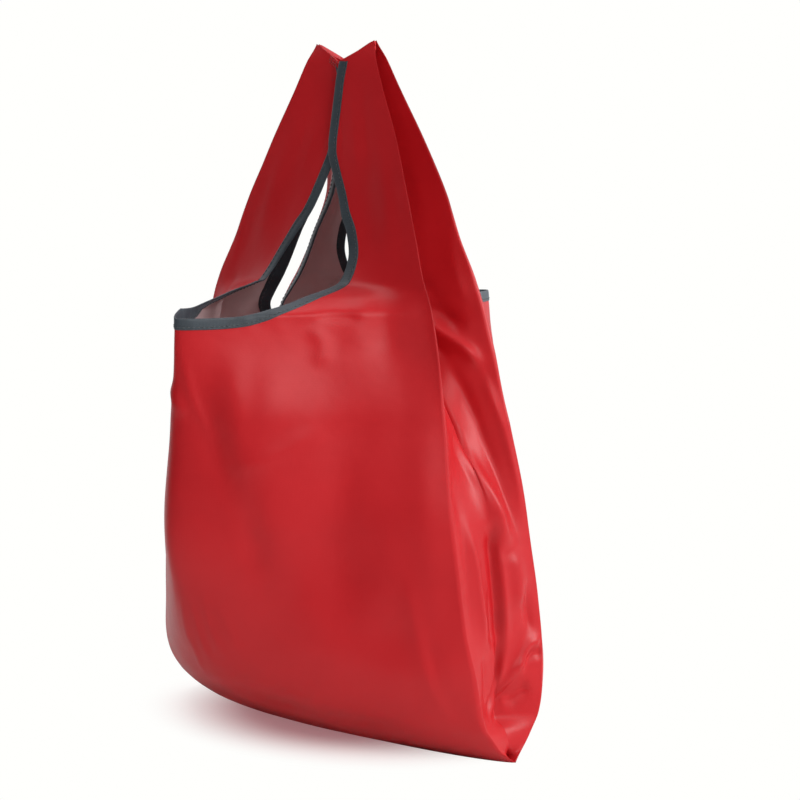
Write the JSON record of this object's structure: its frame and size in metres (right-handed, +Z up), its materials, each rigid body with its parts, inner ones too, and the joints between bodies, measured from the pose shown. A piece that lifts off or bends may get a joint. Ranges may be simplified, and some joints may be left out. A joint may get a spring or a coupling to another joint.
{
  "type": "foldable tote bag",
  "caption": "Vest-style folding carrier bag of thin red polyester with side gussets, grey bound edges and a sewn-in storage pouch, standing open.",
  "frame": {"origin": "middle of the closed bottom, on the surface the bag stands on", "axes": "+Z up, X along the bottom seam, front face towards -Y"},
  "size_m": [0.39, 0.418, 0.607],
  "materials": {
    "red_polyester": "satin woven polyester, proofed",
    "grey_binding": "matte woven tape",
    "grey_coating": "dull proofed back of the cloth"
  },
  "bodies": {
    "bag": {"front_panel": "red_polyester", "back_panel": "red_polyester", "right_gusset": "red_polyester", "left_gusset": "red_polyester", "bottom_panel": "red_polyester", "front_mouth_binding": "grey_binding", "back_mouth_binding": "grey_binding", "right_slit_binding": "grey_binding", "left_slit_binding": "grey_binding", "bottom_seam": "grey_coating", "right_side_seam": "grey_coating", "left_side_seam": "grey_coating"},
    "right_handle": {"right_front_strap": "red_polyester", "right_back_strap": "red_polyester", "right_front_mouth_tape": "grey_binding", "right_front_slit_tape": "grey_binding", "right_back_mouth_tape": "grey_binding", "right_back_slit_tape": "grey_binding", "right_handle_seam": "red_polyester"},
    "left_handle": {"left_front_strap": "red_polyester", "left_back_strap": "red_polyester", "left_front_mouth_tape": "grey_binding", "left_front_slit_tape": "grey_binding", "left_back_mouth_tape": "grey_binding", "left_back_slit_tape": "grey_binding", "left_handle_seam": "red_polyester"},
    "pouch": {"pouch_front": "red_polyester", "pouch_back": "red_polyester", "pouch_hem": "red_polyester", "pouch_loop": "grey_binding"}
  },
  "joints": [
    {"name": "right_handle_swing", "type": "hinge", "parent": "bag", "child": "right_handle", "pos_m": [0.1262, 0, 0.4002], "axis": [0, 1, 0], "range_deg": [0, 75]},
    {"name": "left_handle_swing", "type": "hinge", "parent": "bag", "child": "left_handle", "pos_m": [-0.1262, 0, 0.4002], "axis": [0, -1, 0], "range_deg": [0, 75]},
    {"name": "pouch_swing", "type": "hinge", "parent": "bag", "child": "pouch", "pos_m": [0.07726, -0.08683, 0.358], "axis": [0.6737, 0.739, 0], "range_deg": [0, 50]}
  ]
}
